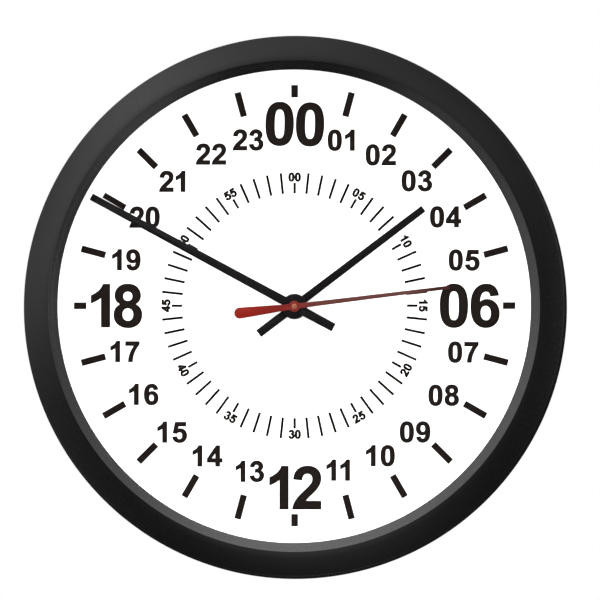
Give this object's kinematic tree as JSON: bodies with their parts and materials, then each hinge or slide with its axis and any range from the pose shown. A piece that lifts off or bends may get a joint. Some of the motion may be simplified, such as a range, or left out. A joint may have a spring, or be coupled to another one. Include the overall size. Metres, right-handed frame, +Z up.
{
  "type": "twenty-four hour wall clock",
  "caption": "Round black wall clock: white 24-hour dial behind a flat lens, black bar hands and a red sweep hand, battery quartz movement, hung on a nail by a keyhole bracket.",
  "frame": {"origin": "where the nail bears in the hanger's slot, on the wall plane", "axes": "+Y into the wall, +Z up, +X to the right seen from the front; the clock faces -Y and its dial axis is 140 mm below the origin"},
  "size_m": [0.3556, 0.045, 0.3556],
  "materials": {
    "case_black": "fine moulded grain, satin",
    "back_black": "moulded, matt",
    "lens_glass": "polished flat glass",
    "dial_white": "matt white print",
    "white_plastic": "moulded, satin",
    "hand_black": "satin black paint",
    "hand_red": "satin red paint",
    "brass": "turned",
    "screw_steel": "zinc plated",
    "hanger_steel": "zinc plated sheet",
    "movement_black": "moulded, satin",
    "train_plastic": "natural acetal",
    "rubber": "matt",
    "copper": "enamelled wire",
    "magnet": "sintered",
    "board": "solder mask",
    "chip_black": "epoxy",
    "battery": "plain printed sleeve"
  },
  "bodies": {
    "case": {"front_bezel": "case_black", "lens": "lens_glass", "dial_spacer_ring": "white_plastic", "dial": "dial_white", "backplate": "back_black", "backplate_screw_1": "screw_steel", "backplate_screw_2": "screw_steel", "backplate_screw_3": "screw_steel", "backplate_screw_4": "screw_steel", "backplate_screw_5": "screw_steel", "backplate_screw_6": "screw_steel", "hanger_bracket": "hanger_steel", "hanger_screw_left": "screw_steel", "hanger_screw_right": "screw_steel", "movement_housing": "movement_black", "movement_cover": "movement_black", "train_plate": "train_plastic", "shaft_bushing": "brass", "rubber_washer": "rubber", "brass_washer": "brass", "hex_nut": "brass", "stator": "screw_steel", "coil_core": "screw_steel", "coil_bobbin": "train_plastic", "coil_winding": "copper", "circuit_board": "board", "timing_chip": "chip_black", "quartz_crystal": "screw_steel", "positive_contact": "screw_steel", "negative_contact": "screw_steel"},
    "minute": {"minute_hand": "hand_black", "cannon_pinion": "brass", "centre_wheel": "train_plastic"},
    "hour": {"hour_hand": "hand_black", "hour_wheel": "train_plastic"},
    "second": {"second_hand": "hand_red", "second_hand_pipe": "brass", "second_arbor": "screw_steel", "second_wheel": "train_plastic"},
    "motion": {"motion_wheel": "train_plastic"},
    "setting": {"set_knob": "white_plastic", "set_pinion": "train_plastic"},
    "third": {"third_wheel": "train_plastic"},
    "intermediate": {"intermediate_wheel": "train_plastic"},
    "rotor": {"rotor_magnet": "magnet", "rotor_pinion": "train_plastic"},
    "cell": {"battery": "battery"}
  },
  "joints": [
    {"name": "minute_hand_turn", "type": "hinge", "parent": "case", "child": "minute", "pos_m": [0, 0, -0.14], "axis": [0, 1, 0], "continuous": true},
    {"name": "hour_hand_turn", "type": "hinge", "parent": "case", "child": "hour", "pos_m": [0, 0, -0.14], "axis": [0, 1, 0], "continuous": true},
    {"name": "second_hand_turn", "type": "hinge", "parent": "case", "child": "second", "pos_m": [0, 0, -0.14], "axis": [0, 1, 0], "continuous": true},
    {"name": "motion_wheel_turn", "type": "hinge", "parent": "case", "child": "motion", "pos_m": [-0.00845, 0, -0.14226], "axis": [0, 1, 0], "continuous": true},
    {"name": "set_knob_turn", "type": "hinge", "parent": "case", "child": "setting", "pos_m": [-0.017, 0, -0.14538], "axis": [0, 1, 0], "continuous": true},
    {"name": "third_wheel_turn", "type": "hinge", "parent": "case", "child": "third", "pos_m": [0.00736, 0, -0.13575], "axis": [0, 1, 0], "continuous": true},
    {"name": "intermediate_wheel_turn", "type": "hinge", "parent": "case", "child": "intermediate", "pos_m": [-0.00727, 0, -0.1358], "axis": [0, 1, 0], "continuous": true},
    {"name": "rotor_turn", "type": "hinge", "parent": "case", "child": "rotor", "pos_m": [-0.00852, 0, -0.12871], "axis": [0, 1, 0], "continuous": true},
    {"name": "battery_slide", "type": "slide", "parent": "case", "child": "cell", "axis": [0, 1, 0], "range_m": [0, 0.03]}
  ],
  "couplings": [
    {"joint": "hour_hand_turn", "follows": "minute_hand_turn", "ratio": 0.041667},
    {"joint": "second_hand_turn", "follows": "minute_hand_turn", "ratio": 60},
    {"joint": "motion_wheel_turn", "follows": "minute_hand_turn", "ratio": -0.25},
    {"joint": "set_knob_turn", "follows": "minute_hand_turn", "ratio": 0.83333},
    {"joint": "third_wheel_turn", "follows": "minute_hand_turn", "ratio": -8},
    {"joint": "intermediate_wheel_turn", "follows": "minute_hand_turn", "ratio": -360},
    {"joint": "rotor_turn", "follows": "minute_hand_turn", "ratio": 1800}
  ]
}
